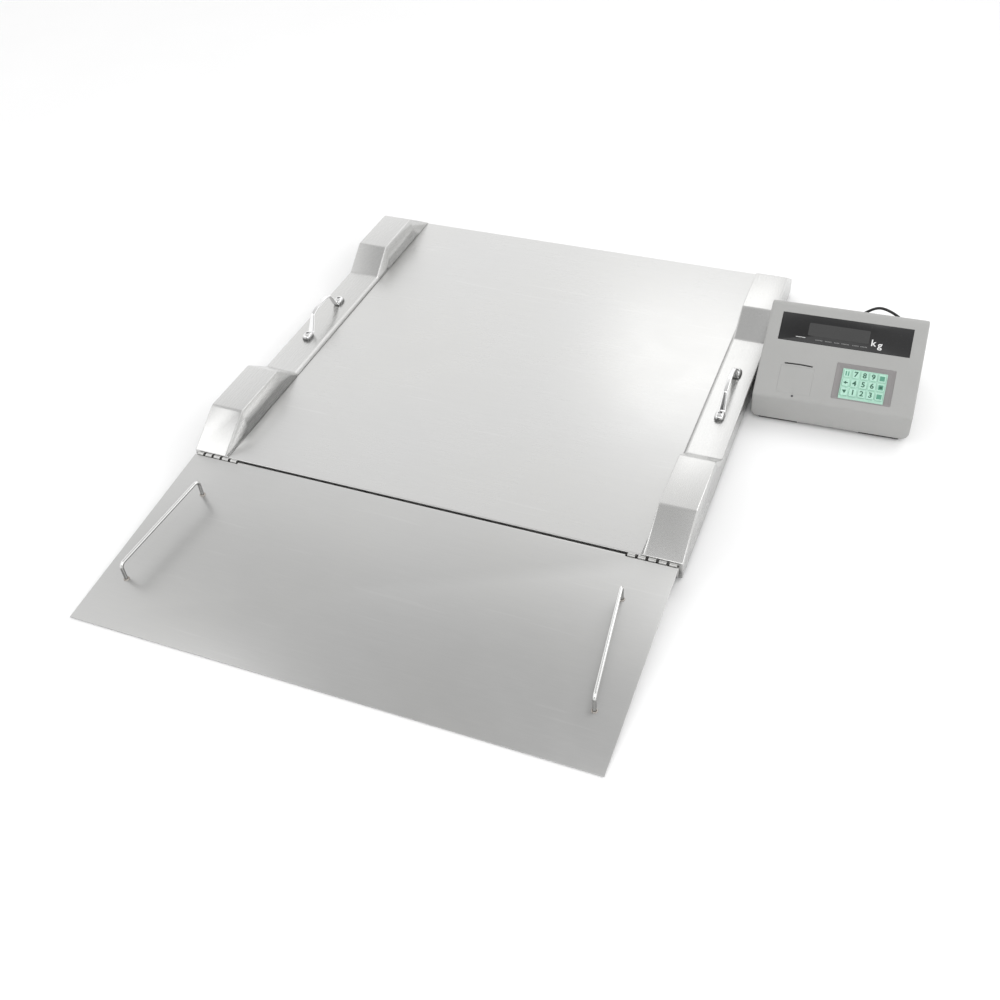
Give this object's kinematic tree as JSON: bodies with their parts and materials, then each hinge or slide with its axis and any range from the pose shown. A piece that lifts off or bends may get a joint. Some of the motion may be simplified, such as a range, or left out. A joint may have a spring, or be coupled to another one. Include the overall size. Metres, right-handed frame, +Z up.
{
  "type": "animal weighing scale",
  "caption": "Low walk-on floor scale with fold-up ramp, corner load cell housings, carry handles and a cabled desktop indicator with display, keypad and printer.",
  "frame": {"origin": "on the floor, at the middle of the footprint of the whole set (platform, lowered ramp and indicator)", "axes": "+Z up, -Y towards the ramp lip, +X to the right as seen from the ramp, where the indicator stands"},
  "size_m": [1.5586, 1.6558, 0.194],
  "materials": {
    "satin_stainless": "satin folded sheet",
    "brushed_stainless": "fine brushed sheet",
    "polished_stainless": "polished",
    "bare_channel": "mill finish folded channel",
    "nickel_plate": "nickel plated alloy steel",
    "black_rubber": "matte",
    "hinge_steel": "satin",
    "grey_plastic": "moulded",
    "black_jacket": "satin cable jacket",
    "grey_casing": "fine textured moulding",
    "smoked_acrylic": "smoked, glossy",
    "display_glass": "glossy",
    "keypad_surround": "fine textured moulding",
    "mint_silicone": "matte silicone",
    "circuit_board": "solder mask",
    "thermal_paper": "paper",
    "dark_mechanism": "moulded"
  },
  "bodies": {
    "platform": {"deck_plate": "brushed_stainless", "display_module": "display_glass", "display_window": "smoked_acrylic", "indicator_base": "grey_casing", "indicator_housing": "grey_casing", "indicator_left_foot": "black_rubber", "indicator_right_foot": "black_rubber", "junction_box": "grey_plastic", "junction_box_lid": "grey_plastic", "keypad_frame": "keypad_surround", "keypad_mat": "mint_silicone", "left_handle_back_cap": "polished_stainless", "left_handle_front_cap": "polished_stainless", "left_hinge_pin": "hinge_steel", "left_hinge_platform_leaf": "hinge_steel", "left_rail_handle": "polished_stainless", "left_side_cover": "satin_stainless", "load_cell_back_left": "nickel_plate", "load_cell_back_right": "nickel_plate", "load_cell_front_left": "nickel_plate", "load_cell_front_right": "nickel_plate", "load_cell_harness": "black_jacket", "main_board": "circuit_board", "printer_mechanism": "dark_mechanism", "right_handle_back_cap": "polished_stainless", "right_handle_front_cap": "polished_stainless", "right_hinge_pin": "hinge_steel", "right_hinge_platform_leaf": "hinge_steel", "right_rail_handle": "polished_stainless", "right_side_cover": "satin_stainless", "signal_cable": "black_jacket", "underframe": "bare_channel"},
    "ramp": {"ramp_plate": "satin_stainless", "left_ramp_handle": "polished_stainless", "right_ramp_handle": "polished_stainless", "left_hinge_ramp_leaf": "hinge_steel", "right_hinge_ramp_leaf": "hinge_steel"},
    "foot_front_left": {"levelling_foot_front_left": "black_rubber"},
    "foot_front_right": {"levelling_foot_front_right": "black_rubber"},
    "foot_back_left": {"levelling_foot_back_left": "black_rubber"},
    "foot_back_right": {"levelling_foot_back_right": "black_rubber"},
    "key_print": {"key_print": "mint_silicone"},
    "key_seven": {"key_seven": "mint_silicone"},
    "key_eight": {"key_eight": "mint_silicone"},
    "key_nine": {"key_nine": "mint_silicone"},
    "key_tare": {"key_tare": "mint_silicone"},
    "key_total": {"key_total": "mint_silicone"},
    "key_four": {"key_four": "mint_silicone"},
    "key_five": {"key_five": "mint_silicone"},
    "key_six": {"key_six": "mint_silicone"},
    "key_zero_set": {"key_zero_set": "mint_silicone"},
    "key_clear": {"key_clear": "mint_silicone"},
    "key_one": {"key_one": "mint_silicone"},
    "key_two": {"key_two": "mint_silicone"},
    "key_three": {"key_three": "mint_silicone"},
    "key_enter": {"key_enter": "mint_silicone"},
    "printer_door": {"printer_door": "grey_casing"},
    "printer_latch": {"printer_latch_button": "dark_mechanism"},
    "paper_roll": {"paper_roll": "thermal_paper"},
    "power_switch": {"power_switch": "dark_mechanism"}
  },
  "joints": [
    {"name": "ramp_fold", "type": "hinge", "parent": "platform", "child": "ramp", "pos_m": [-0.18935, -0.3227, 0.045], "axis": [-1, 0, 0], "range_deg": [0, 128]},
    {"name": "foot_screw_front_left", "type": "slide", "parent": "platform", "child": "foot_front_left", "axis": [0, 0, 1], "range_m": [-0.004, 0.004]},
    {"name": "foot_screw_front_right", "type": "slide", "parent": "platform", "child": "foot_front_right", "axis": [0, 0, 1], "range_m": [-0.004, 0.004]},
    {"name": "foot_screw_back_left", "type": "slide", "parent": "platform", "child": "foot_back_left", "axis": [0, 0, 1], "range_m": [-0.004, 0.004]},
    {"name": "foot_screw_back_right", "type": "slide", "parent": "platform", "child": "foot_back_right", "axis": [0, 0, 1], "range_m": [-0.004, 0.004]},
    {"name": "key_print_press", "type": "slide", "parent": "platform", "child": "key_print", "axis": [-0.0197, 0.4901, -0.8715], "range_m": [0, 0.0005], "stiffness_N_per_m": 1500},
    {"name": "key_seven_press", "type": "slide", "parent": "platform", "child": "key_seven", "axis": [-0.0197, 0.4901, -0.8715], "range_m": [0, 0.0005], "stiffness_N_per_m": 1500},
    {"name": "key_eight_press", "type": "slide", "parent": "platform", "child": "key_eight", "axis": [-0.0197, 0.4901, -0.8715], "range_m": [0, 0.0005], "stiffness_N_per_m": 1500},
    {"name": "key_nine_press", "type": "slide", "parent": "platform", "child": "key_nine", "axis": [-0.0197, 0.4901, -0.8715], "range_m": [0, 0.0005], "stiffness_N_per_m": 1500},
    {"name": "key_tare_press", "type": "slide", "parent": "platform", "child": "key_tare", "axis": [-0.0197, 0.4901, -0.8715], "range_m": [0, 0.0005], "stiffness_N_per_m": 1500},
    {"name": "key_total_press", "type": "slide", "parent": "platform", "child": "key_total", "axis": [-0.0197, 0.4901, -0.8715], "range_m": [0, 0.0005], "stiffness_N_per_m": 1500},
    {"name": "key_four_press", "type": "slide", "parent": "platform", "child": "key_four", "axis": [-0.0197, 0.4901, -0.8715], "range_m": [0, 0.0005], "stiffness_N_per_m": 1500},
    {"name": "key_five_press", "type": "slide", "parent": "platform", "child": "key_five", "axis": [-0.0197, 0.4901, -0.8715], "range_m": [0, 0.0005], "stiffness_N_per_m": 1500},
    {"name": "key_six_press", "type": "slide", "parent": "platform", "child": "key_six", "axis": [-0.0197, 0.4901, -0.8715], "range_m": [0, 0.0005], "stiffness_N_per_m": 1500},
    {"name": "key_zero_set_press", "type": "slide", "parent": "platform", "child": "key_zero_set", "axis": [-0.0197, 0.4901, -0.8715], "range_m": [0, 0.0005], "stiffness_N_per_m": 1500},
    {"name": "key_clear_press", "type": "slide", "parent": "platform", "child": "key_clear", "axis": [-0.0197, 0.4901, -0.8715], "range_m": [0, 0.0005], "stiffness_N_per_m": 1500},
    {"name": "key_one_press", "type": "slide", "parent": "platform", "child": "key_one", "axis": [-0.0197, 0.4901, -0.8715], "range_m": [0, 0.0005], "stiffness_N_per_m": 1500},
    {"name": "key_two_press", "type": "slide", "parent": "platform", "child": "key_two", "axis": [-0.0197, 0.4901, -0.8715], "range_m": [0, 0.0005], "stiffness_N_per_m": 1500},
    {"name": "key_three_press", "type": "slide", "parent": "platform", "child": "key_three", "axis": [-0.0197, 0.4901, -0.8715], "range_m": [0, 0.0005], "stiffness_N_per_m": 1500},
    {"name": "key_enter_press", "type": "slide", "parent": "platform", "child": "key_enter", "axis": [-0.0197, 0.4901, -0.8715], "range_m": [0, 0.0005], "stiffness_N_per_m": 1500},
    {"name": "printer_door_swing", "type": "hinge", "parent": "platform", "child": "printer_door", "pos_m": [0.50157, 0.33884, 0.11518], "axis": [-0.9992, -0.0401, 0], "range_deg": [0, 100]},
    {"name": "printer_latch_press", "type": "slide", "parent": "platform", "child": "printer_latch", "axis": [-0.0197, 0.4901, -0.8715], "range_m": [0, 0.001], "stiffness_N_per_m": 600},
    {"name": "paper_roll_spin", "type": "hinge", "parent": "platform", "child": "paper_roll", "pos_m": [0.50233, 0.31996, 0.07127], "axis": [0.9992, 0.0401, 0], "continuous": true},
    {"name": "power_switch_rock", "type": "hinge", "parent": "platform", "child": "power_switch", "pos_m": [0.71246, 0.54502, 0.06], "axis": [-0.9992, -0.0401, 0], "range_deg": [0, 12]}
  ]
}
